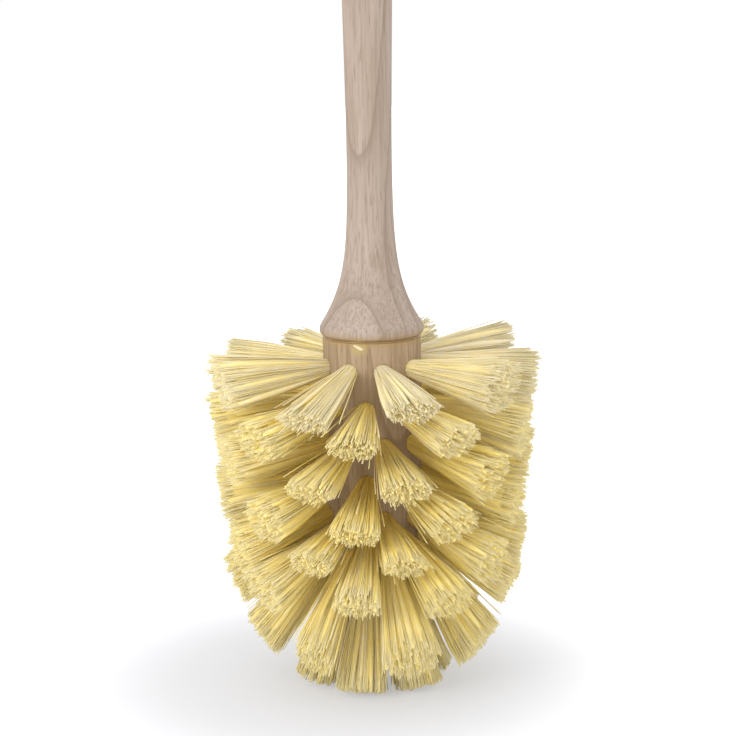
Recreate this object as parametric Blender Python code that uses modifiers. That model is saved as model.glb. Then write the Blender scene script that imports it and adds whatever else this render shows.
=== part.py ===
"""A wooden toilet brush: a turned beech handle, a drilled beech core and stapled tufts of plant fibre.

The brush stands upright on its trimmed bristle ends. Z is its axis and z = 0 is the surface that it stands on.
"""
import math

import bmesh
import bpy
from mathutils import Matrix, Vector

MM = 0.001

# Fits
CLEARANCE = 0.3 * MM
MERGE = 0.01 * MM

# Core: a cylinder with a domed lower end and a socket in its top
CORE_RADIUS = 16.3 * MM
CORE_LENGTH = 81.4 * MM
CORE_EDGE = 0.6 * MM
DOME_HEIGHT = 16.0 * MM
SOCKET_WALL = 0.8 * MM
SOCKET_DEPTH = 14.0 * MM

# Handle: heights are measured up from its shoulder on the core
HANDLE_LENGTH = 260.6 * MM
COLLAR_RADIUS = 17.3 * MM
COLLAR_HEIGHT = 2.8 * MM
COLLAR_ROUNDING = 1.8 * MM
FLARE_LENGTH = 13.2 * MM
FLARE_POWER = 1.15
NECK_RADIUS = 7.35 * MM
NECK_HEIGHT = 50.0 * MM
SWELL_RADIUS = 9.2 * MM
SWELL_HEIGHT = 184.6 * MM
END_RADIUS = 7.9 * MM
END_ROUNDING = 7.0 * MM
TENON_CHAMFER = 0.8 * MM

# Holes, and the staple that holds a tuft at the bottom of each
HOLE_RADIUS = 2.5 * MM
HOLE_DEPTH = 7.0 * MM
LEG_LENGTH = 2.0 * MM
LEG_WIDTH = 0.9 * MM
LEG_MARGIN = 0.25 * MM

# Tufts: each leaves its hole as a bundle and fans out to the trimmed outline
BUNDLE_STANDOUT = 1.0 * MM
HEART_SHARE = 0.52
FAN_RADIUS = 9.0 * MM
FAN_REACH = 38.0 * MM
STRAND_GROWTH = 1.55

# Rings of tufts on the core's side, with the droop of each from the top to the bottom in degrees
SIDE_TUFTS = 9
SIDE_DROOPS = (2.0, 8.0, 9.0, 12.0, 20.0)
TOP_RING_DROP = 9.4 * MM
LAST_RING_RISE = 6.4 * MM
FIRST_AZIMUTH = -78.0

# Rings of tufts on the dome, placed by their angle below its rim in degrees
DOME_TUFTS = 7
DOME_RING_ANGLE = 26.0
DOME_DROOP = 50.0
DOME_AZIMUTH = -70.0
TIP_TUFTS = 6
TIP_RING_ANGLE = 60.0
TIP_DROOP = 72.0
TIP_AZIMUTH = -105.0

# Trimmed outline: bristle lengths are measured straight out from the core
BRISTLE_TOP_LENGTH = 39.0 * MM
BRISTLE_LOW_LENGTH = 33.9 * MM
BRISTLE_TIP_LENGTH = 37.0 * MM
OUTLINE_SHOULDER = 4.0 * MM
OUTLINE_ROUNDNESS = 3.75
FLAT_DEPTH = 0.5 * MM

# Facets
WOOD_STEPS = 36
DOME_STEPS = 8
END_STEPS = 6
BODY_STEPS = 13
FLARE_STEPS = 13
EDGE_STEPS = 4
HOLE_SIDES = 12
BUNDLE_SIDES = 6

# What follows from these sizes
CORE_BOTTOM = BRISTLE_TIP_LENGTH
CORE_TOP = CORE_BOTTOM + CORE_LENGTH
DOME_START = CORE_BOTTOM + DOME_HEIGHT
SHOULDER = CORE_TOP + CLEARANCE
SOCKET_RADIUS = CORE_RADIUS - HOLE_DEPTH - LEG_LENGTH - CLEARANCE - SOCKET_WALL
TENON_RADIUS = SOCKET_RADIUS - CLEARANCE
BUNDLE_RADIUS = HOLE_RADIUS - CLEARANCE
BUNDLE_FLAT = BUNDLE_RADIUS * math.cos(math.pi / BUNDLE_SIDES)
LEG_SPREAD = 2.0 * (BUNDLE_FLAT - LEG_MARGIN) - LEG_WIDTH
TOP_RING = CORE_TOP - TOP_RING_DROP
LAST_RING = DOME_START + LAST_RING_RISE
RING_PITCH = (TOP_RING - LAST_RING) / (len(SIDE_DROOPS) - 1)
OUTLINE_TOP_RADIUS = CORE_RADIUS + BRISTLE_TOP_LENGTH
OUTLINE_LOW_RADIUS = CORE_RADIUS + BRISTLE_LOW_LENGTH
OUTLINE_LOW = CORE_BOTTOM + OUTLINE_SHOULDER
CUTTER_STANDOUT = HOLE_RADIUS
ALONG_X = Matrix.Rotation(math.radians(90.0), 4, "Y")


def new_collection(name):
    """A collection linked to the scene."""
    collection = bpy.data.collections.new(name)
    bpy.context.scene.collection.children.link(collection)
    return collection


def new_material(name, colour, roughness):
    """A plain Principled material with a linear base colour."""
    material = bpy.data.materials.new(name)
    material.use_nodes = True
    shader = material.node_tree.nodes["Principled BSDF"]
    shader.inputs["Base Color"].default_value = (*colour, 1.0)
    shader.inputs["Roughness"].default_value = roughness
    shader.inputs["Metallic"].default_value = 0.0
    material.diffuse_color = (*colour, 1.0)
    return material


def new_object(name, mesh, collection, material=None):
    """An object for the mesh, linked to its collection."""
    if material and not mesh.materials:
        mesh.materials.append(material)
    piece = bpy.data.objects.new(name, mesh)
    collection.objects.link(piece)
    return piece


def turned(name, profile, collection, material):
    """A turned piece: its (radius, height) profile runs down the outer side and is swept about Z."""
    mesh = bpy.data.meshes.new(name)
    points = [(radius, 0.0, height) for radius, height in profile]
    mesh.from_pydata(points, [(i, i + 1) for i in range(len(points) - 1)], [])
    piece = new_object(name, mesh, collection, material)
    screw = piece.modifiers.new("Turning", "SCREW")
    screw.axis = "Z"
    screw.steps = WOOD_STEPS
    screw.render_steps = WOOD_STEPS
    screw.use_merge_vertices = True
    screw.merge_threshold = MERGE
    screw.use_smooth_shade = True
    return piece


def smooth_step(low, high, value):
    """0 at low, 1 at high, level at both ends."""
    t = min(max((value - low) / (high - low), 0.0), 1.0)
    return t * t * (3.0 - 2.0 * t)


def handle_radius(height):
    """The handle's radius at a height above its shoulder."""
    flare = math.exp(-(max(height - COLLAR_HEIGHT, 0.0) / FLARE_LENGTH) ** FLARE_POWER)
    radius = NECK_RADIUS + (COLLAR_RADIUS - NECK_RADIUS) * flare
    radius += (SWELL_RADIUS - NECK_RADIUS) * smooth_step(NECK_HEIGHT, SWELL_HEIGHT, height)
    radius -= (SWELL_RADIUS - END_RADIUS) * smooth_step(SWELL_HEIGHT, HANDLE_LENGTH, height)
    return radius


def arc(radius, height, centre_radius, centre_height, start, end, count):
    """Points of an ellipse's arc about a centre, from one angle to another in degrees."""
    points = []
    for i in range(count + 1):
        angle = math.radians(start + (end - start) * i / count)
        points.append((centre_radius + radius * math.cos(angle), centre_height + height * math.sin(angle)))
    return points


def handle_profile():
    """Rounded end, swell, neck, flare, collar, shoulder and tenon, from the top to the bottom."""
    body_top = HANDLE_LENGTH - END_ROUNDING
    profile = arc(handle_radius(body_top), END_ROUNDING, 0.0, SHOULDER + body_top, 90.0, 0.0, END_STEPS)
    profile[0] = (0.0, SHOULDER + HANDLE_LENGTH)
    for top, bottom, steps in ((body_top, NECK_HEIGHT, BODY_STEPS), (NECK_HEIGHT, COLLAR_HEIGHT, FLARE_STEPS)):
        for i in range(1, steps + 1):
            height = top + (bottom - top) * i / steps
            profile.append((handle_radius(height), SHOULDER + height))
    edge_radius = COLLAR_RADIUS - COLLAR_ROUNDING
    edge_height = SHOULDER + COLLAR_ROUNDING
    profile += arc(COLLAR_ROUNDING, COLLAR_ROUNDING, edge_radius, edge_height, 0.0, -90.0, EDGE_STEPS)
    tenon_end = CORE_TOP - SOCKET_DEPTH + CLEARANCE
    profile.append((TENON_RADIUS, SHOULDER))
    profile.append((TENON_RADIUS, tenon_end + TENON_CHAMFER))
    profile.append((TENON_RADIUS - TENON_CHAMFER, tenon_end))
    profile.append((0.0, tenon_end))
    return profile


def core_profile():
    """Socket, top face, side and dome, with the outer side from the top to the bottom."""
    profile = [
        (0.0, CORE_TOP - SOCKET_DEPTH),
        (SOCKET_RADIUS, CORE_TOP - SOCKET_DEPTH),
        (SOCKET_RADIUS, CORE_TOP),
        (CORE_RADIUS - CORE_EDGE, CORE_TOP),
        (CORE_RADIUS, CORE_TOP - CORE_EDGE),
    ]
    dome = arc(CORE_RADIUS, DOME_HEIGHT, 0.0, DOME_START, 0.0, -90.0, DOME_STEPS)
    dome[-1] = (0.0, CORE_BOTTOM)
    return profile + dome


def outline_radius(height):
    """The trimmed outline's radius at a height."""
    if height >= OUTLINE_LOW:
        rise = (height - OUTLINE_LOW) / (TOP_RING - OUTLINE_LOW)
        return OUTLINE_LOW_RADIUS + (OUTLINE_TOP_RADIUS - OUTLINE_LOW_RADIUS) * rise
    share = (max(height, 0.0) + FLAT_DEPTH) / (OUTLINE_LOW + FLAT_DEPTH)
    return OUTLINE_LOW_RADIUS * share ** (1.0 / OUTLINE_ROUNDNESS)


def trimmed(root, toward):
    """Where the line from root through toward leaves the trimmed outline or meets the ground."""
    direction = (toward - root).normalized()
    near, far = 0.0, 2.0 * OUTLINE_TOP_RADIUS
    while far - near > MERGE / 1000.0:
        middle = (near + far) / 2.0
        point = root + direction * middle
        if point.z < 0.0 or math.hypot(point.x, point.y) > outline_radius(point.z):
            far = middle
        else:
            near = middle
    point = root + direction * near
    if point.z < MERGE:
        point.z = 0.0
    return point


def ring_table():
    """(name, count, first azimuth, mouth radius, mouth height, droop) of each ring of tufts."""
    rings = []
    half_step = 180.0 / SIDE_TUFTS
    for i, droop in enumerate(SIDE_DROOPS):
        azimuth = FIRST_AZIMUTH + half_step * (i % 2)
        rings.append((f"ring{i + 1}", SIDE_TUFTS, azimuth, CORE_RADIUS, TOP_RING - RING_PITCH * i, droop))
    for name, count, first, angle, droop in (
        (f"ring{len(SIDE_DROOPS) + 1}", DOME_TUFTS, DOME_AZIMUTH, DOME_RING_ANGLE, DOME_DROOP),
        ("tip", TIP_TUFTS, TIP_AZIMUTH, TIP_RING_ANGLE, TIP_DROOP),
    ):
        radius = CORE_RADIUS * math.cos(math.radians(angle))
        height = DOME_START - DOME_HEIGHT * math.sin(math.radians(angle))
        rings.append((name, count, first, radius, height, droop))
    return rings


def placement(mouth_radius, mouth_height, droop, azimuth):
    """The tuft's frame: its origin is the middle of the hole's mouth and +X points out along the tuft."""
    turn = Matrix.Rotation(math.radians(azimuth), 4, "Z")
    tilt = Matrix.Rotation(math.radians(droop), 4, "Y")
    return turn @ Matrix.Translation((mouth_radius, 0.0, mouth_height)) @ tilt


def tuft_mesh(name, mouth_radius, mouth_height, droop):
    """One tuft: a bundle in its hole, eight four-sided strands fanning out of it, and two staple legs below."""
    frame = placement(mouth_radius, mouth_height, droop, 0.0)
    back = frame.inverted()
    foot = CLEARANCE - HOLE_DEPTH
    bm = bmesh.new()
    bmesh.ops.create_cone(
        bm,
        cap_ends=True,
        segments=BUNDLE_SIDES,
        radius1=BUNDLE_RADIUS,
        radius2=BUNDLE_RADIUS,
        depth=BUNDLE_STANDOUT - foot,
        matrix=Matrix.Translation(((BUNDLE_STANDOUT + foot) / 2.0, 0.0, 0.0)) @ ALONG_X,
    )
    bm.normal_update()
    top = max(bm.faces, key=lambda face: face.calc_center_median().x)
    bottom = min(bm.faces, key=lambda face: face.calc_center_median().x)

    # a heart of two strands inside a ring of six
    rim = bmesh.ops.inset_region(bm, faces=[top], thickness=BUNDLE_FLAT * (1.0 - HEART_SHARE))["faces"]
    corners = list(top.verts)
    split = bmesh.ops.connect_vert_pair(bm, verts=[corners[0], corners[BUNDLE_SIDES // 2]])["edges"][0]
    roots = list(rim) + list(split.link_faces)
    spread = FAN_RADIUS / BUNDLE_RADIUS
    for face in bmesh.ops.extrude_discrete_faces(bm, faces=roots)["faces"]:
        centre = face.calc_center_median()
        for vert in face.verts:
            aim = centre * spread + (vert.co - centre) * STRAND_GROWTH
            aim.x = FAN_REACH
            vert.co = back @ trimmed(frame @ vert.co, frame @ aim)

    # the staple's legs, one in each half of the bundle's foot
    corners = sorted(bottom.verts, key=lambda vert: vert.co.y)
    split = bmesh.ops.connect_vert_pair(bm, verts=[corners[0], corners[-1]])["edges"][0]
    halves = list(split.link_faces)
    bmesh.ops.inset_individual(bm, faces=halves, thickness=LEG_WIDTH / 4.0)
    for face in halves:
        centre = face.calc_center_median()
        for vert in face.verts:
            inner = vert.co.z - centre.z
            vert.co.y = math.copysign(LEG_WIDTH / 2.0, vert.co.y)
            vert.co.z = math.copysign(LEG_SPREAD / 2.0, centre.z) + math.copysign(LEG_WIDTH / 2.0, inner)
    ends = bmesh.ops.extrude_discrete_faces(bm, faces=halves)["faces"]
    leg_verts = [vert for face in ends for vert in face.verts]
    bmesh.ops.translate(bm, verts=leg_verts, vec=(-LEG_LENGTH, 0.0, 0.0))
    mesh = bpy.data.meshes.new(name)
    bm.to_mesh(mesh)
    bm.free()
    return mesh


def hole_cutters(bm, frame):
    """Adds one tuft's hole to the cutter."""
    depth = HOLE_DEPTH + CUTTER_STANDOUT
    bmesh.ops.create_cone(
        bm,
        cap_ends=True,
        segments=HOLE_SIDES,
        radius1=HOLE_RADIUS,
        radius2=HOLE_RADIUS,
        depth=depth,
        matrix=frame @ Matrix.Translation((CUTTER_STANDOUT - depth / 2.0, 0.0, 0.0)) @ ALONG_X,
    )


def leg_cutters(bm, frame):
    """Adds the pilot holes of one tuft's staple to the cutter."""
    length = LEG_LENGTH + 2.0 * CLEARANCE
    width = LEG_WIDTH + 2.0 * CLEARANCE
    for side in (-1.0, 1.0):
        place = Matrix.Translation((CLEARANCE - HOLE_DEPTH - length / 2.0, 0.0, side * LEG_SPREAD / 2.0))
        bmesh.ops.create_cube(bm, size=1.0, matrix=frame @ place @ Matrix.Diagonal((length, width, width, 1.0)))


def cutter(name, add, frames, collection):
    """One mesh that holds every copy of a cutter."""
    bm = bmesh.new()
    for frame in frames:
        add(bm, frame)
    bmesh.ops.recalc_face_normals(bm, faces=bm.faces[:])
    mesh = bpy.data.meshes.new(name)
    bm.to_mesh(mesh)
    bm.free()
    tool = new_object(name, mesh, collection)
    tool.hide_render = True
    tool.display_type = "WIRE"
    return tool


def cut(piece, tool):
    """Takes a cutter out of a piece."""
    modifier = piece.modifiers.new(tool.name, "BOOLEAN")
    modifier.operation = "DIFFERENCE"
    modifier.solver = "EXACT"
    modifier.object = tool


def main():
    """Builds the brush."""
    for old in list(bpy.data.objects):
        bpy.data.objects.remove(old, do_unlink=True)
    brush = new_collection("toilet_brush")
    cutters = new_collection("cutters")
    handle_beech = new_material("handle_beech", (0.47, 0.38, 0.32), 0.6)
    core_beech = new_material("core_beech", (0.46, 0.34, 0.23), 0.7)
    fibre = new_material("fibre", (0.90, 0.76, 0.36), 0.55)

    axis = bpy.data.objects.new("brush_axis", None)
    brush.objects.link(axis)
    handle = turned("handle", handle_profile(), brush, handle_beech)
    core = turned("brush_core", core_profile(), brush, core_beech)
    handle.parent = axis
    core.parent = axis

    frames = []
    for name, count, first, radius, height, droop in ring_table():
        mesh = tuft_mesh(name, radius, height, droop)
        for i in range(count):
            frame = placement(radius, height, droop, first + 360.0 * i / count)
            tuft = new_object(f"tuft_{name}_{i + 1}", mesh, brush, fibre)
            tuft.matrix_world = frame
            tuft.parent = axis
            frames.append(frame)
    cut(core, cutter("tuft_holes", hole_cutters, frames, cutters))
    cut(core, cutter("staple_holes", leg_cutters, frames, cutters))


main()
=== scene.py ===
"""Looks of a wooden toilet brush: turned beech, a glued joint and tufts of fine plant fibre."""
import math

import bmesh
import bpy
import numpy as np
from mathutils import Matrix, Vector


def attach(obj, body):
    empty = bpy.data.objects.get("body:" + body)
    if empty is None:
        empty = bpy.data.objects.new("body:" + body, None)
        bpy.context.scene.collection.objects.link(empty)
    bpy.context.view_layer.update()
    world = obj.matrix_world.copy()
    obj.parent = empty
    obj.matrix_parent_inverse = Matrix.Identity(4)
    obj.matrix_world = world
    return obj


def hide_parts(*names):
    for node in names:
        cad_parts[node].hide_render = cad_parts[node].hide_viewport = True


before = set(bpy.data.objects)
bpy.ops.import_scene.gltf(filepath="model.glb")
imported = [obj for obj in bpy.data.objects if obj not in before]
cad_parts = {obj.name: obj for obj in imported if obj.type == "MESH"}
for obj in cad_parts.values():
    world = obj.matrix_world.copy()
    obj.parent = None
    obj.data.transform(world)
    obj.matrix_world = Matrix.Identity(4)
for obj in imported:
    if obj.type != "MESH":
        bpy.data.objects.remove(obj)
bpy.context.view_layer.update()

MM = 0.001

# Sizes repeated from the model
CLEARANCE = 0.3 * MM
CORE_RADIUS = 16.3 * MM
CORE_BOTTOM = 37.0 * MM
CORE_TOP = 118.4 * MM
CORE_EDGE = 0.6 * MM
DOME_HEIGHT = 16.0 * MM
DOME_START = CORE_BOTTOM + DOME_HEIGHT
SHOULDER = CORE_TOP + CLEARANCE
HANDLE_LENGTH = 260.6 * MM
COLLAR_RADIUS = 17.3 * MM
COLLAR_HEIGHT = 2.8 * MM
COLLAR_ROUNDING = 1.8 * MM
FLARE_LENGTH = 13.2 * MM
FLARE_POWER = 1.15
NECK_RADIUS = 7.35 * MM
NECK_HEIGHT = 50.0 * MM
SWELL_RADIUS = 9.2 * MM
SWELL_HEIGHT = 184.6 * MM
END_RADIUS = 7.9 * MM
END_ROUNDING = 7.0 * MM
HOLE_RADIUS = 2.5 * MM
HOLE_DEPTH = 7.0 * MM
OUTLINE_TOP = 109.0 * MM
OUTLINE_TOP_RADIUS = 55.3 * MM
OUTLINE_LOW = 41.0 * MM
OUTLINE_LOW_RADIUS = 50.2 * MM
OUTLINE_ROUNDNESS = 3.75
FLAT_DEPTH = 0.5 * MM

# Rings of tufts on the core's side, from the top down, with each ring's droop in degrees
SIDE_TUFTS = 9
SIDE_DROOPS = (2.0, 8.0, 9.0, 12.0, 18.0)
FIRST_AZIMUTH = -78.0
RING_PITCH = 12.4 * MM
# A further ring where the side meets the dome
MIDDLE_RING = 53.4 * MM
MIDDLE_DROOP = 25.0
# Rings on the dome: name, count, first azimuth, how far round the dome and droop
DOME_RINGS = (("ring6", 7, -70.0, 26.0, 50.0), ("tip", 6, -105.0, 60.0, 72.0))

# How finely the wooden pieces are turned, and how far the holes' cutters stand out of the core
HANDLE_SEGMENTS = 128
CORE_SEGMENTS = 96
HANDLE_LEVELS = 160
HOLE_SEGMENTS = 20
CUTTER_STANDOUT = 3.0 * MM
MERGE_DISTANCE = 0.01 * MM
SHARP_ANGLE = math.radians(40.0)

# The trunk's pith lies this far behind the brush's axis, and further away by this share of the height
PITH = 160.0 * MM
PITH_SLANT = 0.075
# Stretches above the joint in which the pith moves further away: (from, to, by)
PITH_STEPS = ((2.0 * MM, 11.0 * MM, 1.2 * MM), (48.0 * MM, 70.0 * MM, 1.5 * MM))
# How far the growth rings wander
RING_DRIFT = 1.0 * MM
# How dense the wood's patterns are across and along the grain, in cycles per metre
WAVES = (70.0, 70.0, 22.0)
CLOUDS = (110.0, 110.0, 14.0)
STREAKS = (1100.0, 1100.0, 30.0)
DASHES = (2000.0, 2000.0, 130.0)
GRAIN_DEPTH = 0.12 * MM
# Wood that glue has yellowed, the dark seam of the joint, partly glue and partly painted shade under the
# collar's rounding, and the patch below the joint at the front
STAIN_COLOUR = (0.42, 0.27, 0.09)
SEAM_AND_SHADE_COLOUR = (0.22, 0.14, 0.07)
SPILL_COLOUR = (0.50, 0.37, 0.13)
SPILL = (-4.2 * MM, -15.8 * MM, CORE_TOP - 1.4 * MM)

# How far the glue reaches into the joint, then the dried drop's place and half its length, depth and height
GLUE_REACH = 1.6 * MM
DROP_AZIMUTH = -106.0
DROP_LEVEL = CORE_TOP - 1.5 * MM
DROP_LENGTH = 1.5 * MM
DROP_DEPTH = 0.42 * MM
DROP_HEIGHT = 0.62 * MM
DROP_SLANT = 0.7 * MM

# The fibre's colours from the most golden to the most bleached, then its mottling, the painted shade that
# turns it golden at the root and the painted light that pales its tip
FIBRE_TONES = (
    (0.0, (0.92, 0.69, 0.17)),
    (0.25, (0.94, 0.76, 0.22)),
    (0.65, (0.93, 0.79, 0.36)),
    (1.0, (0.88, 0.79, 0.61)),
)
FIBRE_MOTTLE = (0.95, 0.72, 0.13)
FIBRE_ROOT_SHADE = (0.97, 0.70, 0.12)
FIBRE_TIP_LIGHT = (0.93, 0.84, 0.54)
MOTTLE_DENSITY = (420.0, 420.0, 420.0)
GLUE_DENSITY = (900.0, 900.0, 900.0)

# Fibres: how many a tuft has, their radius and how much it varies, and the steps and sides of each
SEED = 20
FIBRES = 920
FIBRE_RADIUS = 0.168 * MM
FIBRE_VARIETY = (0.75, 1.3)
FIBRE_STEPS = 4
FIBRE_SIDES = 3
BUNDLE_RADIUS = 2.3 * MM
# How far a bundle hangs below the middle of its hole
BUNDLE_SAG = 0.3 * MM
# This share of the fibres stands at the bundle's rim, at these shares of its radius
OUTER_SHARE = 0.2
RIM = (0.86, 1.02)

# Locks that the fibres gather in. Their widths go from root to tip, as shares of a lock's part of the fan
LOCKS = 61
LOCK_SIDES = 6
LOCK_FILL = 0.95
LOCK_WIDTHS = (0.3, 0.5, 0.7, 0.86, 1.0, 0.9, 0.45)
LOCK_VARIETY = (0.8, 1.2)
LOCK_JITTER = 0.04
LOCK_FAN = 0.9
LOCK_ROOT = 0.8
GOLDEN_ANGLE = math.pi * (3.0 - math.sqrt(5.0))
# How far each fibre's tip is drawn towards its lock
GATHER = (0.1, 0.75)

# The matted heart of a tuft
HEART_SIDES = 16
HEART_STEPS = 6
HEART_SHARE = 0.78
HEART_GROWTH = 0.95
HEART_DEPTH = 5.0 * MM

# The radius of a full fan where it ends, how far out from its hole that is, and how fast it opens
FAN_RADIUS = 9.2 * MM
FAN_REACH = 38.0 * MM
FAN_POWER = 0.8
FAN_VARIETY = (0.94, 1.08)
# The lowest fibres of a tuft are shorter by this much, and by this much more where it points to the front
FAN_SLANT = 1.5 * MM
FRONT_SLANT = 6.0 * MM
# Tufts that point to the front hang lower by this many degrees, unless they droop by as much as STEEP
FRONT_SINK = 2.0
STEEP = 30.0

# Spreads of the tips' places, the bends and the waves, in metres, and the strays among the fibres
LOCK_TIP_SPREAD = 0.5 * MM
FIBRE_TIP_SPREAD = 0.6 * MM
STRAY_SHARE = 0.05
STRAY_SPREAD = 2.0 * MM
LOCK_BEND = 0.4 * MM
FIBRE_BEND = 0.35 * MM
WAVE = 0.12 * MM
WAVE_RATE = 9.0

# Trimming: where fibres start in their holes, the samples along them, and those that are always kept
PATH_START = -3.0 * MM
PATH_END = 62.0 * MM
PATH_SAMPLES = 131
KEPT_SAMPLES = 40
# How unevenly locks and fibres are cut, how far a fibre may pass the outline, and how short some end
LOCK_CUT = 0.5 * MM
FIBRE_CUT = 0.35 * MM
MOST_PAST = 1.0 * MM
FIBRE_SHORTFALL = 7.0 * MM
FIBRE_RARITY = 2.2
LOCK_SHORTFALL = 4.0 * MM
LEAST_SHORT = 0.15

# Tones from 0, golden, to 1, bleached: mean and spread of fibres and of locks, and the heart's range
FIBRE_TONE = (0.55, 0.15)
LOCK_TONE = (0.45, 0.14)
HEART_TONE = (0.1, 0.5)
TUFT_TONE = 0.05
# The share of a fibre's colours along its length that locks and heart run through
LOCK_SHARE = 0.9
HEART_END = 0.8
# How far apart two fibres lie in the pattern of stripes
STRIPE_STEP = 7.3
# Painted light: how much paler the fibres of some rings are made, the top ring as if lit from above and the
# lowest to lift their shade, and how much of that goes into their tone
PAINTED_LIGHT_PALLORS = {"ring1": 0.85, "ring6": 0.1, "tip": 0.3}
PAINTED_LIGHT_TONE = 0.4

# Tufts that differ: the lean of azimuth and droop in degrees, then shares of the fan's width and height
LEANS = {
    "ring1_1": (4.0, 6.5, 0.95, 0.5),
    "ring1_2": (0.0, 1.0, 1.0, 1.0),
    "ring1_3": (0.0, 6.0, 1.0, 0.95),
    "ring1_4": (-13.0, -1.5, 0.9, 1.0),
    "ring1_5": (-13.0, -1.5, 1.0, 0.85),
    "ring1_6": (-3.0, 2.0, 0.75, 0.75),
    "ring1_7": (-14.0, 3.0, 0.5, 0.9),
    "ring1_8": (0.0, 0.6, 1.0, 1.0),
    "ring1_9": (3.0, 12.0, 0.95, 0.54),
    "ring2_1": (0.0, -1.0, 1.0, 0.75),
    "ring2_6": (0.0, -8.0, 1.0, 1.4),
    "ring2_7": (0.0, 2.0, 1.0, 1.12),
    "ring2_8": (0.0, 1.0, 1.05, 0.85),
    "ring2_9": (0.0, -0.5, 0.9, 0.5),
    "ring3_1": (0.0, 2.5, 1.0, 0.6),
    "ring3_8": (0.0, -4.0, 1.05, 1.05),
    "ring3_9": (4.0, 3.0, 1.05, 0.56),
    "ring4_1": (0.0, 1.0, 1.0, 0.8),
    "ring4_6": (0.0, -7.0, 1.0, 1.3),
    "ring4_7": (0.0, -2.5, 1.0, 1.1),
    "ring4_9": (0.0, 3.0, 0.95, 0.56),
    "ring5_1": (0.0, -5.5, 0.92, 0.62),
    "ring5_9": (3.0, -6.5, 0.92, 0.62),
    "middle_1": (0.0, 3.0, 1.0, 0.9),
    "middle_2": (0.0, 2.5, 1.0, 0.85),
    "middle_7": (0.0, 4.0, 1.0, 1.05),
    "middle_8": (-6.0, -2.0, 1.0, 1.0),
    "middle_9": (0.0, 0.0, 0.9, 0.8),
    "ring6_1": (-3.5, 0.0, 1.0, 1.0),
    "ring6_2": (-2.0, 3.5, 1.1, 1.05),
    "ring6_3": (8.0, 1.0, 0.85, 0.9),
    "ring6_5": (14.0, 0.0, 0.8, 0.8),
    "ring6_6": (0.0, -0.6, 0.85, 1.0),
    "ring6_7": (-1.0, 0.0, 0.76, 1.0),
    "tip_1": (1.5, 0.0, 0.9, 1.0),
    "tip_2": (1.5, 1.0, 0.9, 1.0),
}
# The others lean by this spread in degrees, and their fans' heights lie between these shares
LEAN_SPREAD = 2.0
HEIGHT_VARIETY = (0.9, 1.08)

# Camera
LENS = 100.0
SENSOR = 36.0
CAMERA_AIM = Vector((-1.4 * MM, 0.0, 107.2 * MM))
CAMERA_DISTANCE = 0.681
CAMERA_ELEVATION = math.radians(11.0)
CAMERA_ROLL = math.radians(-0.85)

# Floor: its colour for light and for the camera, and its glow to the camera, which is weaker round the brush
# and paints a grey shadow there, off centre, on top of the shadows cast
FLOOR_SIZE = 6.0
FLOOR_BOUNCE = (0.95, 0.95, 0.95)
FLOOR_SEEN = (0.42, 0.425, 0.46)
PAINTED_SHADOW_OFFSET = (0.012, 0.0, 0.0)
PAINTED_SHADOW_RADII = (0.05, 0.15)
PAINTED_SHADOW_GLOW = (0.42, 0.95)

# The point that the lamps face
LAMP_AIM = Vector((0.0, 0.0, 0.1))


def smooth_step(low, high, value):
    """0 at low, 1 at high, level at both ends."""
    t = min(max((value - low) / (high - low), 0.0), 1.0)
    return t * t * (3.0 - 2.0 * t)


def handle_radius(height):
    """The handle's radius at a height above its shoulder."""
    flare = math.exp(-(max(height - COLLAR_HEIGHT, 0.0) / FLARE_LENGTH) ** FLARE_POWER)
    radius = NECK_RADIUS + (COLLAR_RADIUS - NECK_RADIUS) * flare
    radius += (SWELL_RADIUS - NECK_RADIUS) * smooth_step(NECK_HEIGHT, SWELL_HEIGHT, height)
    radius -= (SWELL_RADIUS - END_RADIUS) * smooth_step(SWELL_HEIGHT, HANDLE_LENGTH, height)
    return radius


def arc(radius, height, centre_radius, centre_height, start, end, count):
    """Points of an ellipse's arc about a centre, from one angle to another in degrees."""
    points = []
    for i in range(count + 1):
        angle = math.radians(start + (end - start) * i / count)
        points.append((centre_radius + radius * math.cos(angle), centre_height + height * math.sin(angle)))
    return points


def shown(name, data):
    """An object for the mesh, camera or light, linked to the scene."""
    piece = bpy.data.objects.new(name, data)
    bpy.context.scene.collection.objects.link(piece)
    return piece


def turned(name, profile, segments):
    """A smooth turned mesh from a (radius, height) profile that runs down its outer side."""
    mesh = bpy.data.meshes.new(name)
    points = [(radius, 0.0, height) for radius, height in profile]
    mesh.from_pydata(points, [(i, i + 1) for i in range(len(points) - 1)], [])
    piece = shown(name, mesh)
    screw = piece.modifiers.new("Turning", "SCREW")
    screw.axis = "Z"
    screw.steps = segments
    screw.render_steps = segments
    screw.use_merge_vertices = True
    screw.merge_threshold = MERGE_DISTANCE
    screw.use_smooth_shade = True
    return piece


def settled(piece):
    """The piece with its modifiers applied."""
    graph = bpy.context.evaluated_depsgraph_get()
    mesh = bpy.data.meshes.new_from_object(piece.evaluated_get(graph))
    piece.modifiers.clear()
    piece.data = mesh
    return piece


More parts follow.
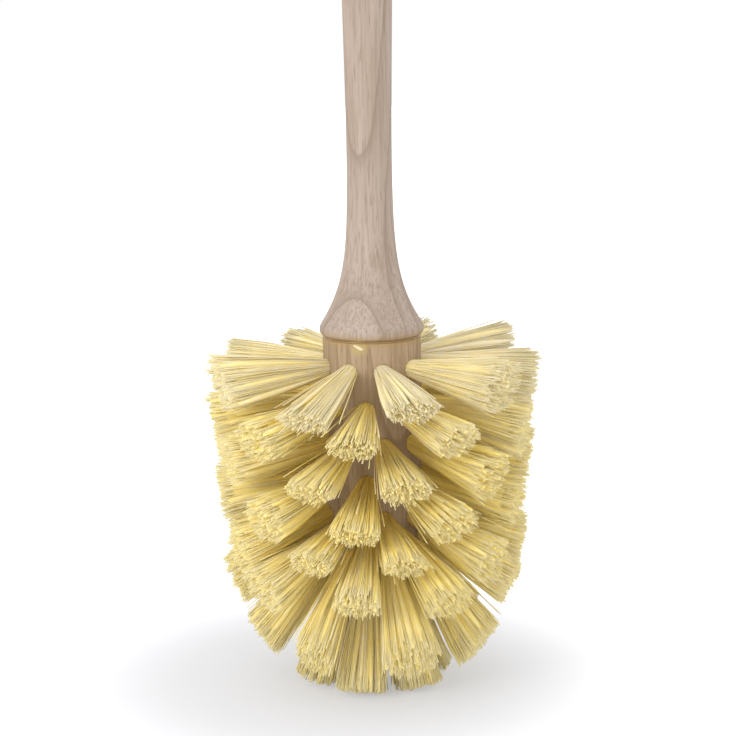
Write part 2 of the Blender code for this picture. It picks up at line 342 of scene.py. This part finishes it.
class Nodes:
    """A short way to write a material's node tree."""

    def __init__(self, name):
        self.material = bpy.data.materials.new(name)
        self.material.use_nodes = True
        self.tree = self.material.node_tree
        self.shader = self.tree.nodes["Principled BSDF"]

    def add(self, kind, **settings):
        node = self.tree.nodes.new("ShaderNode" + kind)
        for key, value in settings.items():
            setattr(node, key, value)
        return node

    def link(self, source, target):
        self.tree.links.new(source, target)

    def feed(self, socket, value):
        if isinstance(value, bpy.types.NodeSocket):
            self.link(value, socket)
        else:
            socket.default_value = value

    def math(self, operation, a, b=0.0):
        node = self.add("Math", operation=operation)
        self.feed(node.inputs[0], a)
        self.feed(node.inputs[1], b)
        return node.outputs[0]

    def stretch(self, vector, scale, offset=(0.0, 0.0, 0.0)):
        node = self.add("Mapping")
        self.link(vector, node.inputs["Vector"])
        node.inputs["Location"].default_value = offset
        node.inputs["Scale"].default_value = scale
        return node.outputs[0]

    def noise(self, vector, detail=2.0, roughness=0.5):
        node = self.add("TexNoise")
        self.link(vector, node.inputs["Vector"])
        node.inputs["Scale"].default_value = 1.0
        node.inputs["Detail"].default_value = detail
        node.inputs["Roughness"].default_value = roughness
        return node.outputs["Fac"]

    def ramp(self, value, *stops):
        """A colour ramp. A stop's colour is red, green and blue, or one value for a grey."""
        node = self.add("ValToRGB")
        self.feed(node.inputs[0], value)
        elements = node.color_ramp.elements
        while len(elements) < len(stops):
            elements.new(0.5)
        for element, (place, colour) in zip(elements, stops):
            colour = colour if isinstance(colour, tuple) else (colour, colour, colour)
            element.position = place
            element.color = (*colour, 1.0)
        return node.outputs[0]

    def mix(self, amount, a, b):
        node = self.add("Mix", data_type="RGBA", blend_type="MIX")
        self.feed(node.inputs["Factor"], amount)
        self.feed(node.inputs["A"], a if isinstance(a, bpy.types.NodeSocket) else (*a, 1.0))
        self.feed(node.inputs["B"], b if isinstance(b, bpy.types.NodeSocket) else (*b, 1.0))
        return node.outputs["Result"]

    def range(self, value, low, high, to_low=0.0, to_high=1.0):
        """A smooth change from to_low to to_high while the value goes from low to high."""
        node = self.add("MapRange", interpolation_type="SMOOTHSTEP")
        self.feed(node.inputs["Value"], value)
        node.inputs["From Min"].default_value = low
        node.inputs["From Max"].default_value = high
        node.inputs["To Min"].default_value = to_low
        node.inputs["To Max"].default_value = to_high
        return node.outputs[0]

    def length(self, a, b):
        """The root of two values' squares."""
        return self.math("SQRT", self.math("ADD", self.math("MULTIPLY", a, a), self.math("MULTIPLY", b, b)))


def growth_rings(n, place, split, facing, spacing, offset):
    """How dark the late wood is: the growth rings are circles about a pith far behind, which moves away
    unevenly as the trunk goes up."""
    rise = n.math("SUBTRACT", split.outputs["Z"], CORE_TOP)
    away = n.math("ADD", n.math("MULTIPLY", rise, PITH_SLANT), PITH)
    for low, high, step in PITH_STEPS:
        away = n.math("ADD", away, n.range(rise, low, high, 0.0, step))
    turn = math.radians(facing)
    across = n.math("ADD", split.outputs["X"], n.math("MULTIPLY", away, math.cos(turn)))
    behind = n.math("ADD", split.outputs["Y"], n.math("MULTIPLY", away, math.sin(turn)))
    drift = n.noise(n.stretch(place, WAVES), detail=3.0)
    shift = n.math("MULTIPLY", n.math("SUBTRACT", drift, 0.5), RING_DRIFT)
    depth = n.math("ADD", n.math("SUBTRACT", n.length(across, behind), PITH), shift)
    ring = n.math("FRACT", n.math("DIVIDE", n.math("SUBTRACT", depth, offset), spacing))
    return n.ramp(ring, (0.0, 0.0), (0.5, 0.0), (0.84, 0.45), (0.955, 1.0), (0.985, 0.1))


def beech(name, pale, deep, line, fleck, roughness, facing, spacing, offset, stain):
    """Turned beech: growth rings that face one way and lean back with the height, short dark flecks along the
    grain, and a yellow stain at the glued joint."""
    n = Nodes(name)
    place = n.add("TexCoord").outputs["Object"]
    split = n.add("SeparateXYZ")
    n.link(place, split.inputs[0])
    height = split.outputs["Z"]

    # clouds, streaks, late wood and flecks
    body = n.noise(n.stretch(place, CLOUDS, offset=(0.3, 0.1, 0.7)), detail=3.0)
    colour = n.mix(n.range(body, 0.32, 0.68), pale, deep)
    streak = n.noise(n.stretch(place, STREAKS), detail=3.0, roughness=0.6)
    colour = n.mix(n.range(streak, 0.4, 0.7, 0.0, 0.85), colour, line)
    late = growth_rings(n, place, split, facing, spacing, offset)
    colour = n.mix(n.math("MULTIPLY", late, 0.75), colour, fleck)
    dashes = n.noise(n.stretch(place, DASHES, offset=(0.0, 5.0, 0.0)), detail=1.0)
    dash = n.range(dashes, 0.57, 0.70)
    colour = n.mix(n.math("MULTIPLY", dash, 0.6), colour, fleck)

    # what the glue did: a stain on both sides of the joint and a patch below it; between them a dark seam
    # that is partly glue and partly painted shade under the collar
    below = n.range(height, CORE_TOP - 2.5 * MM, CORE_TOP)
    above = n.range(height, CORE_TOP + 3.5 * MM, CORE_TOP)
    stained = n.math("MULTIPLY", n.math("MULTIPLY", below, above), stain)
    colour = n.mix(stained, colour, STAIN_COLOUR)
    # painted shade: a narrow dark band at the joint, where the collar's underside is in shadow, mixed with
    # the glue's colour
    below = n.range(height, CORE_TOP - 0.5 * MM, CORE_TOP)
    above = n.range(height, SHOULDER + 1.2 * MM, SHOULDER + 0.3 * MM)
    seam_and_shade = n.math("MULTIPLY", n.math("MULTIPLY", below, above), 0.5)
    colour = n.mix(seam_and_shade, colour, SEAM_AND_SHADE_COLOUR)
    spill = n.add("VectorMath", operation="DISTANCE")
    n.link(place, spill.inputs[0])
    spill.inputs[1].default_value = SPILL
    spilt = n.range(spill.outputs["Value"], 3.8 * MM, 1.4 * MM, 0.0, 0.6)
    colour = n.mix(spilt, colour, SPILL_COLOUR)
    n.link(colour, n.shader.inputs["Base Color"])

    rough = n.math("ADD", n.math("MULTIPLY", body, 0.15), roughness)
    n.link(rough, n.shader.inputs["Roughness"])
    bump = n.add("Bump")
    bump.inputs["Strength"].default_value = 0.35
    bump.inputs["Distance"].default_value = GRAIN_DEPTH
    n.link(n.math("SUBTRACT", streak, n.math("MULTIPLY", dash, 0.5)), bump.inputs["Height"])
    n.link(bump.outputs[0], n.shader.inputs["Normal"])
    n.shader.inputs["Specular IOR Level"].default_value = 0.3
    return n.material


def fibre_material():
    """Straw-coloured plant fibre: each has its own tone and stripes, and along it the colour turns golden
    towards the root, which is painted shade, and pale at the tip, which is painted light.
    """
    n = Nodes("plant_fibre")
    tone = n.add("Attribute", attribute_name="tone").outputs["Fac"]
    along = n.add("Attribute", attribute_name="along").outputs["Fac"]
    place = n.add("TexCoord").outputs["Object"]
    stripe = n.add("TexNoise", noise_dimensions="1D")
    n.link(n.add("Attribute", attribute_name="strand").outputs["Fac"], stripe.inputs["W"])
    stripe.inputs["Scale"].default_value = 3.0
    stripe.inputs["Detail"].default_value = 1.0
    striped = n.math("ADD", tone, n.range(stripe.outputs["Fac"], 0.3, 0.7, -0.22, 0.22))
    colour = n.ramp(striped, *FIBRE_TONES)
    mottle = n.noise(n.stretch(place, MOTTLE_DENSITY), detail=2.0)
    colour = n.mix(n.range(mottle, 0.35, 0.75, 0.0, 0.3), colour, FIBRE_MOTTLE)
    # painted shade: golden towards the root, where the fibres shade each other; painted light: paler at the
    # cut tips, where light catches them
    colour = n.mix(n.range(along, 0.7, 0.0, 0.0, 0.6), colour, FIBRE_ROOT_SHADE)
    colour = n.mix(n.range(along, 0.85, 1.0, 0.0, 0.4), colour, FIBRE_TIP_LIGHT)
    n.link(colour, n.shader.inputs["Base Color"])
    n.link(n.range(tone, 0.0, 1.0, 0.6, 0.45), n.shader.inputs["Roughness"])
    n.shader.inputs["Specular IOR Level"].default_value = 0.3
    return n.material


def glue_material(name, deep, pale):
    """Dried wood glue, glossy: yellow, or brown where it stands in the joint's seam, whose dark colour is
    partly painted shade.
    """
    n = Nodes(name)
    place = n.add("TexCoord").outputs["Object"]
    cloud = n.noise(n.stretch(place, GLUE_DENSITY), detail=2.0)
    n.link(n.mix(cloud, deep, pale), n.shader.inputs["Base Color"])
    n.link(n.range(cloud, 0.3, 0.8, 0.12, 0.3), n.shader.inputs["Roughness"])
    return n.material


def floor_material():
    """Pale paper. To the camera it glows white, but less so round the brush, where that paints a grey shadow
    on top of the cast one.
    """
    n = Nodes("floor_paper")
    seen = n.add("LightPath").outputs["Is Camera Ray"]
    paper = n.add("BsdfDiffuse")
    n.link(n.mix(seen, FLOOR_BOUNCE, FLOOR_SEEN), paper.inputs["Color"])
    place = n.add("TexCoord").outputs["Object"]
    split = n.add("SeparateXYZ")
    n.link(n.stretch(place, (1.0, 1.0, 1.0), offset=PAINTED_SHADOW_OFFSET), split.inputs[0])
    far = n.length(split.outputs["X"], split.outputs["Y"])
    glow = n.add("Emission")
    glow.inputs["Color"].default_value = (1.0, 1.0, 1.0, 1.0)
    # painted shadow: the glow fades towards the brush, so the floor round it looks shaded
    n.link(n.math("MULTIPLY", seen, n.range(far, *PAINTED_SHADOW_RADII, *PAINTED_SHADOW_GLOW)), glow.inputs["Strength"])
    both = n.add("AddShader")
    n.link(paper.outputs[0], both.inputs[0])
    n.link(glow.outputs[0], both.inputs[1])
    n.link(both.outputs[0], n.tree.nodes["Material Output"].inputs["Surface"])
    n.tree.nodes.remove(n.shader)
    return n.material


def outline_radius(height):
    """The trimmed outline's radius at each height of an array."""
    rise = (height - OUTLINE_LOW) / (OUTLINE_TOP - OUTLINE_LOW)
    side = OUTLINE_LOW_RADIUS + (OUTLINE_TOP_RADIUS - OUTLINE_LOW_RADIUS) * rise
    share = (np.maximum(height, 0.0) + FLAT_DEPTH) / (OUTLINE_LOW + FLAT_DEPTH)
    return np.where(height >= OUTLINE_LOW, side, OUTLINE_LOW_RADIUS * share ** (1.0 / OUTLINE_ROUNDNESS))


def ring_table():
    """(name, count, first azimuth, mouth radius, mouth height, droop) of each ring of tufts."""
    rings = []
    half_step = 180.0 / SIDE_TUFTS
    for i, droop in enumerate(SIDE_DROOPS):
        azimuth = FIRST_AZIMUTH + half_step * (i % 2)
        rings.append((f"ring{i + 1}", SIDE_TUFTS, azimuth, CORE_RADIUS, OUTLINE_TOP - RING_PITCH * i, droop))
    rings.append(("middle", SIDE_TUFTS, FIRST_AZIMUTH + half_step, CORE_RADIUS, MIDDLE_RING, MIDDLE_DROOP))
    for name, count, first, angle, droop in DOME_RINGS:
        radius = CORE_RADIUS * math.cos(math.radians(angle))
        height = DOME_START - DOME_HEIGHT * math.sin(math.radians(angle))
        rings.append((name, count, first, radius, height, droop))
    return rings


def placement(mouth_radius, mouth_height, droop, azimuth):
    """The tuft's frame: its origin is the middle of the hole's mouth and +X points out along the tuft."""
    turn = Matrix.Rotation(math.radians(azimuth), 4, "Z")
    tilt = Matrix.Rotation(math.radians(droop), 4, "Y")
    return turn @ Matrix.Translation((mouth_radius, 0.0, mouth_height)) @ tilt


def front_share(azimuth, droop):
    """1 for a tuft that points straight to the front, 0 for one that points to the side, back or floor."""
    if droop >= STEEP:
        return 0.0
    return max(-math.sin(math.radians(azimuth)), 0.0) ** 2


def disc(rng, count):
    """Random points of a unit disc, as an array (point, xy)."""
    spin = rng.uniform(0.0, 2.0 * math.pi, count)
    out = np.sqrt(rng.uniform(0.0, 1.0, count))
    return np.stack([out * np.cos(spin), out * np.sin(spin)], 1)


def lowness(root):
    """0 for the highest places in a unit disc, 1 for the lowest."""
    return np.clip(0.5 - 0.5 * root[:, 1], 0.0, 1.0)


def opening(t):
    """How far the fan has opened at a share of its reach."""
    return t ** FAN_POWER


def trimmed(place, side, cut, steps):
    """Paths that run along the tuft at the given sideways places, cut at the outline with an offset each, as
    an array (path, step, xyz)."""
    count = len(cut)
    lengths = np.linspace(PATH_START, PATH_END, PATH_SAMPLES)
    t = np.clip(lengths / FAN_REACH, 0.0, None)[None, :, None]
    forward = np.broadcast_to(lengths[None, :, None], (count, PATH_SAMPLES, 1))
    points = np.concatenate([forward, side(t)], 2)
    matrix = np.array(place)
    world = points @ matrix[:3, :3].T + matrix[:3, 3]
    reach = np.hypot(world[..., 0], world[..., 1])
    floor = np.maximum(-cut, 0.0)[:, None]
    outside = (reach > outline_radius(world[..., 2]) + cut[:, None]) | (world[..., 2] < floor)
    outside[:, :KEPT_SAMPLES] = False
    outside[:, -1] = True
    last = lengths[np.argmax(outside, 1)]
    spots = PATH_START + (last - PATH_START)[:, None] * np.linspace(0.0, 1.0, steps)[None]
    paths = np.empty((count, steps, 3))
    for axis in range(3):
        for i in range(count):
            paths[i, :, axis] = np.interp(spots[i], lengths, world[i, :, axis])
    return paths


def tuft_paths(rng, place, fan, slant):
    """The paths of one tuft's fibres, of the locks that they gather in and of its heart. The fan is given as
    half its width and half its height, and slant is how much shorter the lowest fibres are."""
    # roots in the bundle, as shares of its radius, and the locks' places in it
    root = disc(rng, FIBRES)
    outer = rng.uniform(0.0, 1.0, (FIBRES, 1)) < OUTER_SHARE
    rim = root / np.linalg.norm(root, axis=1, keepdims=True) * rng.uniform(*RIM, (FIBRES, 1))
    root = np.where(outer, rim, root)
    order = np.arange(LOCKS)
    spin = order * GOLDEN_ANGLE + rng.uniform(0.0, 2.0 * math.pi)
    centres = np.stack([np.cos(spin), np.sin(spin)], 1) * np.sqrt((order[:, None] + 0.5) / LOCKS)
    centres = centres + rng.normal(0.0, LOCK_JITTER, (LOCKS, 2))
    lock = np.argmin(np.linalg.norm(root[:, None] - centres[None], axis=2), 1)

    # tips, of which each is drawn towards its lock's
    fan = fan * rng.uniform(*FAN_VARIETY, 2)
    lock_tip = centres * fan * LOCK_FAN + rng.normal(0.0, LOCK_TIP_SPREAD, (LOCKS, 2))
    lock_root = centres * BUNDLE_RADIUS * LOCK_ROOT
    tip = root * fan + rng.normal(0.0, FIBRE_TIP_SPREAD, (FIBRES, 2))
    tip = tip + (lock_tip[lock] - tip) * rng.uniform(*GATHER, (FIBRES, 1))
    lower = lowness(root)
    root = root * BUNDLE_RADIUS
    stray = rng.uniform(0.0, 1.0, FIBRES) < STRAY_SHARE
    tip = np.where(stray[:, None], tip + rng.normal(0.0, STRAY_SPREAD, (FIBRES, 2)), tip)

    # bends and waves
    lock_bend = rng.normal(0.0, LOCK_BEND, (LOCKS, 2))
    bend = lock_bend[lock] + rng.normal(0.0, FIBRE_BEND, (FIBRES, 2))
    wave = rng.normal(0.0, WAVE, (FIBRES, 2))
    phase = rng.uniform(0.0, 2.0 * math.pi, (FIBRES, 1))
    sag = np.array([0.0, -BUNDLE_SAG])

    def fibre_side(t):
        plain = root[:, None] + (tip - root)[:, None] * opening(t) + bend[:, None] * (t * t - t) + sag
        return plain + wave[:, None] * np.sin(phase[:, None] + t * WAVE_RATE) * np.minimum(t, 1.0)

    def lock_side(t):
        spread = (lock_tip - lock_root)[:, None] * opening(t)
        return lock_root[:, None] + spread + lock_bend[:, None] * (t * t - t) + sag

    def heart_side(t):
        return np.zeros((1, t.shape[1], 2)) + sag

    lock_cut = rng.normal(0.0, LOCK_CUT, LOCKS)
    cut = lock_cut[lock] + rng.normal(0.0, FIBRE_CUT, FIBRES) - slant * lower
    cut = cut - FIBRE_SHORTFALL * rng.uniform(0.0, 1.0, FIBRES) ** FIBRE_RARITY
    fibres = trimmed(place, fibre_side, np.minimum(cut, MOST_PAST), FIBRE_STEPS)
    lock_cut = np.minimum(lock_cut, 0.0) - LOCK_SHORTFALL * rng.uniform(LEAST_SHORT, 1.0, LOCKS) ** 2
    lock_cut -= slant * lowness(centres)
    locks = trimmed(place, lock_side, lock_cut, len(LOCK_WIDTHS))
    heart = trimmed(place, heart_side, np.array([-HEART_DEPTH - 0.5 * slant]), HEART_STEPS)
    return fibres, locks, heart


class Tubes:
    """Thin tubes along paths, gathered into one mesh. Its points carry three attributes: tone, along, which
    is the share of the length, and strand, each side's place in the pattern of stripes."""

    def __init__(self, painted_pallor):
        """The pallor, painted light, is the share of the length whose colours the tubes start with at their
        roots, so less of the root's painted shade shows.
        """
        self.painted_pallor = painted_pallor
        self.points, self.quads, self.ends = [], [], []
        self.tone, self.along, self.strand = [], [], []
        self.total = 0

    def add(self, paths, widths, sides, spin, tone, heights=None, reach=1.0):
        """Widths and heights are (path, step), spin is a start angle for each path, tone is (path, side) and
        reach is the share of a fibre's length that the tubes cover."""
        heights = widths if heights is None else heights
        count, steps, _ = paths.shape
        forward = np.gradient(paths, axis=1)
        forward /= np.linalg.norm(forward, axis=2, keepdims=True)
        up = np.zeros_like(forward)
        up[..., 2] = 1.0
        across = np.cross(forward, up)
        across /= np.linalg.norm(across, axis=2, keepdims=True)
        other = np.cross(forward, across)
        rings = []
        for side in range(sides):
            angle = (spin + 2.0 * math.pi * side / sides)[:, None, None]
            beside = widths[..., None] * np.cos(angle) * across
            rings.append(paths + beside + heights[..., None] * np.sin(angle) * other)
        self.points.append(np.stack(rings, 2).reshape(-1, 3))

        index = self.total + np.arange(count * steps * sides).reshape(count, steps, sides)
        following = np.roll(index, -1, axis=2)
        corners = [index[:, :-1], following[:, :-1], following[:, 1:], index[:, 1:]]
        self.quads.append(np.stack(corners, 3).reshape(-1, 4))
        self.ends.append(index[:, -1])
        self.total += count * steps * sides

        share = self.painted_pallor + (reach - self.painted_pallor) * np.linspace(0.0, 1.0, steps)[None, :, None]
        strand = np.arange(count)[:, None, None] * STRIPE_STEP + np.arange(sides)
        for values, gathered in ((tone[:, None], self.tone), (share, self.along), (strand, self.strand)):
            gathered.append(np.broadcast_to(values, (count, steps, sides)).ravel())

    def mesh(self, name):
        """The mesh of all tubes, smooth but for their flat ends, with no point below the floor."""
        points = np.concatenate(self.points)
        points[:, 2] = np.maximum(points[:, 2], 0.0)
        quads = np.concatenate(self.quads)
        loops = np.concatenate([quads.ravel()] + [end.ravel() for end in self.ends])
        sizes = np.concatenate([np.full(len(quads), 4)] + [np.full(*end.shape) for end in self.ends])
        mesh = bpy.data.meshes.new(name)
        mesh.vertices.add(len(points))
        mesh.vertices.foreach_set("co", points.astype(np.float32).ravel())
        mesh.loops.add(len(loops))
        mesh.loops.foreach_set("vertex_index", loops.astype(np.int32))
        mesh.polygons.add(len(sizes))
        mesh.polygons.foreach_set("loop_start", (np.cumsum(sizes) - sizes).astype(np.int32))
        mesh.polygons.foreach_set("use_smooth", np.arange(len(sizes)) < len(quads))
        mesh.update(calc_edges=True)
        for key, values in (("tone", self.tone), ("along", self.along), ("strand", self.strand)):
            layer = mesh.attributes.new(key, "FLOAT", "POINT")
            layer.data.foreach_set("value", np.concatenate(values).astype(np.float32))
        return mesh


def tuft_mesh(name, rng, place, fan, slant, painted_pallor):
    """One tuft: fine fibres round the locks that they gather in, and a matted heart."""
    fibres, locks, heart = tuft_paths(rng, place, fan, slant)
    # painted light: rings made paler get a lighter tone throughout
    whole = rng.normal(0.0, TUFT_TONE) + PAINTED_LIGHT_TONE * painted_pallor
    tubes = Tubes(painted_pallor)

    tone = np.clip(rng.normal(*FIBRE_TONE, (FIBRES, 1)) + whole, 0.0, 1.0)
    widths = FIBRE_RADIUS * rng.uniform(*FIBRE_VARIETY, (FIBRES, 1)) * np.ones(FIBRE_STEPS)
    spin = rng.uniform(0.0, 2.0 * math.pi, FIBRES)
    tubes.add(fibres, widths, FIBRE_SIDES, spin, tone)

    tone = np.clip(rng.normal(*LOCK_TONE, (LOCKS, LOCK_SIDES)) + whole, 0.0, 1.0)
    filled = LOCK_FILL * math.sqrt(fan[0] * fan[1] / LOCKS)
    widths = filled * rng.uniform(*LOCK_VARIETY, (LOCKS, 1)) * np.array(LOCK_WIDTHS)
    tubes.add(locks, widths, LOCK_SIDES, rng.uniform(0.0, 1.0, LOCKS), tone, reach=LOCK_SHARE)

    grown = opening(np.linspace(0.0, 1.0, HEART_STEPS))[None] * HEART_GROWTH
    widths, heights = (HEART_SHARE * (BUNDLE_RADIUS + (half - BUNDLE_RADIUS) * grown) for half in fan)
    tone = rng.uniform(*HEART_TONE, (1, HEART_SIDES))
    tubes.add(heart, widths, HEART_SIDES, np.zeros(1), tone, heights, reach=HEART_END)
    return tubes.mesh(name)


def softbox(name, place, size, power):
    """A round area light that faces the middle of the brush."""
    data = bpy.data.lights.new(name, "AREA")
    data.shape = "DISK"
    data.size = size
    data.energy = power
    lamp = shown(name, data)
    lamp.location = place
    lamp.rotation_euler = (Vector(place) - LAMP_AIM).to_track_quat("Z", "Y").to_euler()


# Handle
body_top = HANDLE_LENGTH - END_ROUNDING
profile = arc(handle_radius(body_top), END_ROUNDING, 0.0, SHOULDER + body_top, 90.0, 0.0, 16)
profile[0] = (0.0, SHOULDER + HANDLE_LENGTH)
for i in range(1, HANDLE_LEVELS + 1):
    level = body_top + (COLLAR_HEIGHT - body_top) * i / HANDLE_LEVELS
    profile.append((handle_radius(level), SHOULDER + level))
rounding = (COLLAR_ROUNDING, COLLAR_ROUNDING)
profile += arc(*rounding, COLLAR_RADIUS - COLLAR_ROUNDING, SHOULDER + COLLAR_ROUNDING, 0.0, -90.0, 8)
profile.append((0.0, SHOULDER))
handle = settled(turned("beech_handle", profile, HANDLE_SEGMENTS))
handle.data.set_sharp_from_angle(angle=SHARP_ANGLE)
handle.data.materials.append(beech(
    "handle_beech_grain",
    pale=(0.468, 0.379, 0.322),
    deep=(0.382, 0.298, 0.236),
    line=(0.335, 0.25, 0.19),
    fleck=(0.275, 0.20, 0.15),
    roughness=0.5,
    facing=-117.0,
    spacing=6.3 * MM,
    offset=1.68 * MM,
    stain=0.5,
))
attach(handle, "root")
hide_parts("handle")

# Core with its holes
profile = [(0.0, CORE_TOP), (CORE_RADIUS - CORE_EDGE, CORE_TOP)]
profile += arc(CORE_EDGE, CORE_EDGE, CORE_RADIUS - CORE_EDGE, CORE_TOP - CORE_EDGE, 90.0, 0.0, 4)[1:]
profile += arc(CORE_RADIUS, DOME_HEIGHT, 0.0, DOME_START, 0.0, -90.0, 20)
profile[-1] = (0.0, CORE_BOTTOM)
core = turned("beech_core", profile, CORE_SEGMENTS)
rings = ring_table()
cutters = bmesh.new()
middle = Matrix.Translation(((CUTTER_STANDOUT - HOLE_DEPTH) / 2.0, 0.0, 0.0))
lying = middle @ Matrix.Rotation(math.radians(90.0), 4, "Y")
for name, count, first, radius, level, droop in rings:
    for i in range(count):
        bmesh.ops.create_cone(
            cutters,
            cap_ends=True,
            segments=HOLE_SEGMENTS,
            radius1=HOLE_RADIUS,
            radius2=HOLE_RADIUS,
            depth=HOLE_DEPTH + CUTTER_STANDOUT,
            matrix=placement(radius, level, droop, first + 360.0 * i / count) @ lying,
        )
cutter_mesh = bpy.data.meshes.new("holes")
cutters.to_mesh(cutter_mesh)
cutters.free()
holes = shown("holes", cutter_mesh)
drilling = core.modifiers.new("Holes", "BOOLEAN")
drilling.operation = "DIFFERENCE"
drilling.solver = "EXACT"
drilling.object = holes
settled(core)
bpy.data.objects.remove(holes)
core.data.set_sharp_from_angle(angle=SHARP_ANGLE)
core.data.materials.clear()
core.data.materials.append(beech(
    "core_beech_grain",
    pale=(0.455, 0.340, 0.228),
    deep=(0.367, 0.260, 0.157),
    line=(0.33, 0.23, 0.135),
    fleck=(0.25, 0.165, 0.09),
    roughness=0.62,
    facing=-60.0,
    spacing=4.3 * MM,
    offset=1.0 * MM,
    stain=0.6,
))
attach(core, "root")
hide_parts("brush_core")

# Glue: a thin brown ring in the joint, its brown partly glue and partly painted shade of the seam, and one
# dried drop that ran out at the front
seam_glue_painted_shade = glue_material("seam_glue_painted_shade", (0.26, 0.17, 0.08), (0.42, 0.29, 0.14))
profile = [
    (CORE_RADIUS - GLUE_REACH, SHOULDER - 0.02 * MM),
    (CORE_RADIUS - 0.2 * MM, SHOULDER + 0.1 * MM),
    (CORE_RADIUS - 0.08 * MM, SHOULDER - 0.12 * MM),
    (CORE_RADIUS - 0.12 * MM, CORE_TOP - 0.2 * MM),
    (CORE_RADIUS - 0.4 * MM, CORE_TOP + 0.02 * MM),
    (CORE_RADIUS - GLUE_REACH, CORE_TOP + 0.02 * MM),
    (CORE_RADIUS - GLUE_REACH, SHOULDER - 0.02 * MM),
]
ring = settled(turned("glue_ring", profile, CORE_SEGMENTS))
ring.data.materials.append(seam_glue_painted_shade)
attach(ring, "root")

# The drop is a flattened ball, wrapped round the core: narrower and thicker below, and lower at one end
ball = bmesh.new()
bmesh.ops.create_uvsphere(ball, u_segments=28, v_segments=18, radius=1.0)
for vert in ball.verts:
    x, y, z = vert.co
    width = DROP_LENGTH * (1.0 + 0.25 * math.sin(2.0 * z + 0.4))
    angle = math.radians(DROP_AZIMUTH) + x * width / CORE_RADIUS
    out = CORE_RADIUS + y * DROP_DEPTH * (1.0 - 0.3 * z)
    level = DROP_LEVEL + z * DROP_HEIGHT - x * DROP_SLANT
    vert.co = (out * math.cos(angle), out * math.sin(angle), level)
drop_mesh = bpy.data.meshes.new("glue_drop")
ball.to_mesh(drop_mesh)
ball.free()
drop_mesh.shade_smooth()
drop = shown("glue_drop", drop_mesh)
drop.data.materials.append(glue_material("dried_glue", (0.70, 0.58, 0.34), (0.88, 0.80, 0.60)))
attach(drop, "root")

# Tufts, each with random draws of its own
fibre = fibre_material()
number = 0
for name, count, first, radius, level, droop in rings:
    # painted light: some rings are made paler
    painted_pallor = PAINTED_LIGHT_PALLORS.get(name, 0.0)
    for i in range(count):
        number += 1
        rng = np.random.default_rng([SEED, number])
        key = f"{name}_{i + 1}"
        if key in LEANS:
            turn, sink, wide, high = LEANS[key]
        else:
            turn, sink = rng.normal(0.0, LEAN_SPREAD, 2)
            wide, high = 1.0, rng.uniform(*HEIGHT_VARIETY)
        azimuth = first + 360.0 * i / count
        front = front_share(azimuth + turn, droop)
        leaning = placement(0.0, 0.0, droop + sink + FRONT_SINK * front, azimuth + turn)
        leaning.translation = placement(radius, level, droop, azimuth).translation
        fan = FAN_RADIUS * np.array([wide, high])
        slant = FAN_SLANT + FRONT_SLANT * front
        tuft = shown(f"fibres_{key}", tuft_mesh(f"fibres_{key}", rng, leaning, fan, slant, painted_pallor))
        tuft.data.materials.append(fibre)
        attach(tuft, "root")
        if name != "middle":
            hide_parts(f"tuft_{key}")

# Camera
camera_data = bpy.data.cameras.new("camera")
camera_data.lens = LENS
camera_data.sensor_width = SENSOR
camera = shown("camera", camera_data)
back = Vector((0.0, -math.cos(CAMERA_ELEVATION), math.sin(CAMERA_ELEVATION)))
look = back.to_track_quat("Z", "Y").to_matrix().to_4x4()
roll = Matrix.Rotation(CAMERA_ROLL, 4, "Z")
camera.matrix_world = Matrix.Translation(CAMERA_AIM + back * CAMERA_DISTANCE) @ look @ roll
bpy.context.scene.camera = camera

# Floor
bpy.ops.mesh.primitive_plane_add(size=FLOOR_SIZE)
floor = bpy.context.object
floor.name = "floor"
floor.data.materials.append(floor_material())

# White world and three soft lamps
world = bpy.data.worlds.new("studio")
bpy.context.scene.world = world
world.use_nodes = True
sky = world.node_tree.nodes["Background"]
sky.inputs["Color"].default_value = (1.0, 1.0, 1.0, 1.0)
sky.inputs["Strength"].default_value = 1.0
softbox("front", place=(-1.1, -0.98, 0.68), size=0.85, power=8.35)
softbox("fill", place=(0.75, -1.35, 0.22), size=1.0, power=2.95)
softbox("top", place=(0.2, -0.02, 1.6), size=0.8, power=1.8)

scene = bpy.context.scene
scene.view_settings.view_transform = "Standard"
